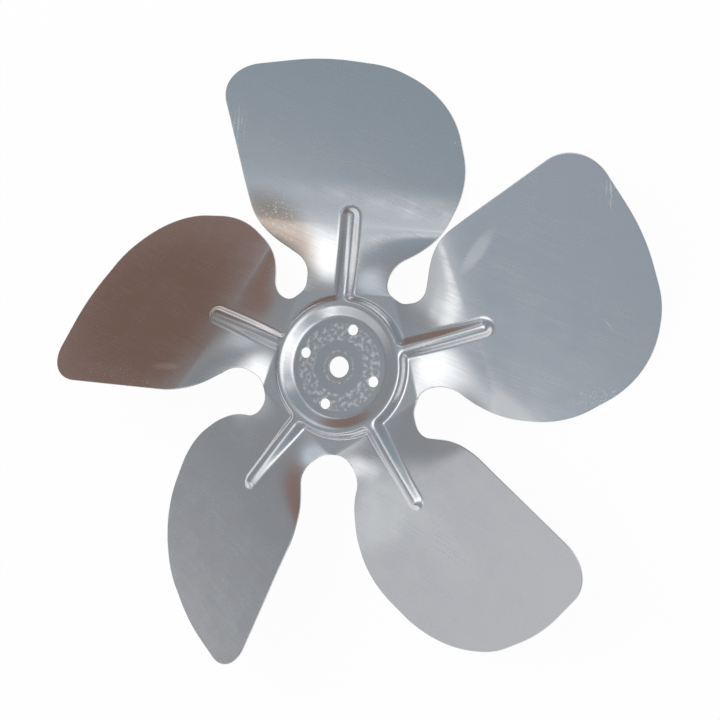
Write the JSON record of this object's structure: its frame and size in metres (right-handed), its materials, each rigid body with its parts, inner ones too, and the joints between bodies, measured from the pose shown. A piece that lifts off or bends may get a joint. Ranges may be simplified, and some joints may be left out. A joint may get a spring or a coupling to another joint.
{
  "type": "axial fan impeller",
  "caption": "Axial fan impeller pressed from one aluminium sheet: a bored disc in a raised ring bead, with ribbed, twisted and cambered blades set round it.",
  "frame": {"origin": "on the bore axis, in the front face of the disc", "axes": "+Z along the shaft, out of the face that carries the raised ring and ribs (the side it blows to); +Y along one rib"},
  "size_m": [0.2486, 0.2477, 0.0472],
  "materials": {
    "rolled_aluminium": "bright rolled sheet with a fine grain and light scuffs"
  },
  "bodies": {
    "root": {"impeller": "rolled_aluminium"}
  },
  "joints": []
}
